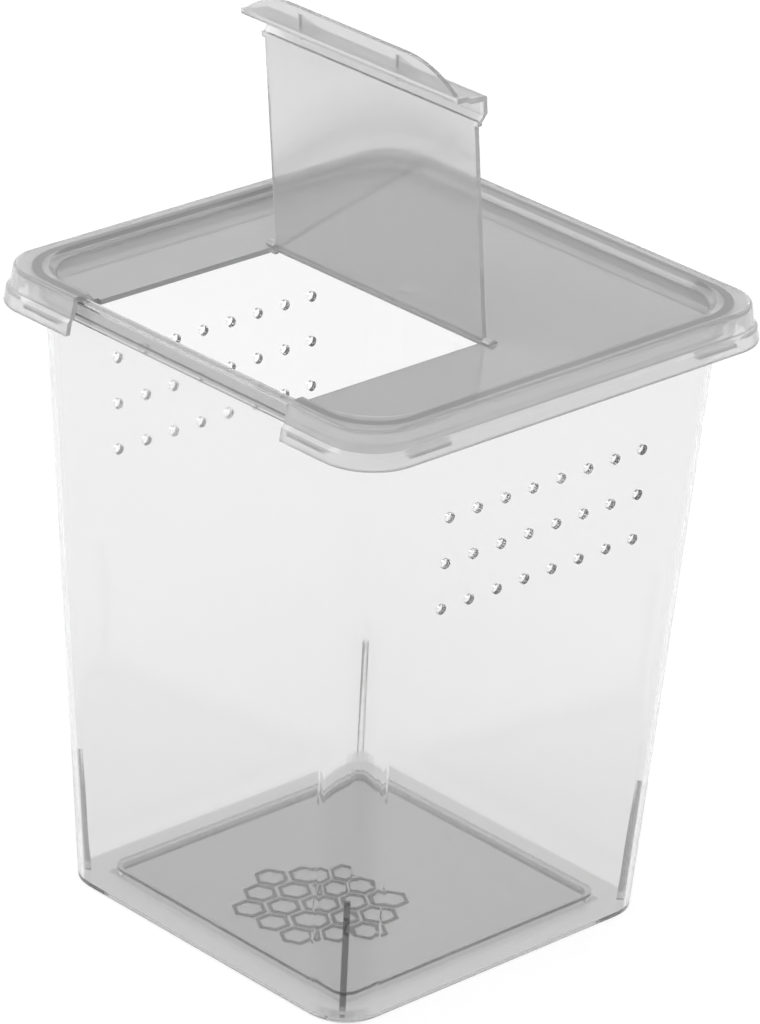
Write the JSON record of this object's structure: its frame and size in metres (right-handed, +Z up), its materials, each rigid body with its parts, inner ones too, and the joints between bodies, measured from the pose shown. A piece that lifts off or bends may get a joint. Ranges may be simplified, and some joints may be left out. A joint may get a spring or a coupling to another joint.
{
  "type": "cricket keeper box",
  "caption": "Tall clear box with vented walls, a lid with a raised rim and a hinged feeding flap, for keeping crickets and other small animals.",
  "frame": {"origin": "centre of the tub's base, on the surface it stands on", "axes": "+Z up; -Y towards the side where the flap opens; +X to the right when facing that side from outside, across one of the two vented walls"},
  "size_m": [0.151, 0.151, 0.2581],
  "materials": {
    "clear_plastic": "clear, glossy, slightly grey where it is thick"
  },
  "bodies": {
    "tub": {"tub": "clear_plastic"},
    "lid": {"lid": "clear_plastic"},
    "flap": {"flap": "clear_plastic"}
  },
  "joints": [
    {"name": "lid_lift", "type": "slide", "parent": "tub", "child": "lid", "axis": [0, 0, 1], "range_m": [0, 0.06]},
    {"name": "flap_hinge", "type": "hinge", "parent": "lid", "child": "flap", "pos_m": [0.0016, -0.0025, 0.17935], "axis": [-1, 0, 0], "range_deg": [-83.5, 36.5]}
  ]
}
